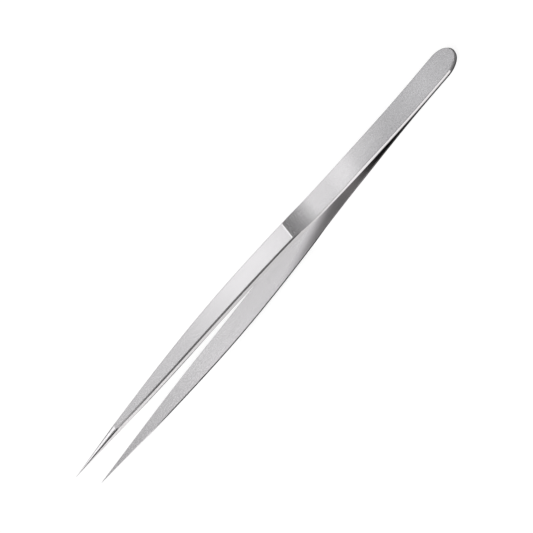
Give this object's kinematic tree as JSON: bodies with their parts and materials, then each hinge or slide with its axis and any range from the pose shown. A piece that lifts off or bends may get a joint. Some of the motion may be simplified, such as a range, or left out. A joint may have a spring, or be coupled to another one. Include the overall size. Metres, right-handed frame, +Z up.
{
  "type": "fine-point tweezers",
  "caption": "Slim straight tweezers with needle points: ground spring arms joined at a flat, rounded heel, for picking up very small parts. They lie on the back of the lower arm.",
  "frame": {"origin": "middle of the box that holds the part, on the table it lies on", "axes": "+X along the tweezers from the heel to the tips, +Y across the arms, +Z up: the arms open along Z"},
  "size_m": [0.14, 0.0072, 0.0138],
  "materials": {
    "steel": "fine satin grind, polished needle points"
  },
  "bodies": {
    "root": {"upper_arm": "steel", "lower_arm": "steel"}
  },
  "joints": []
}
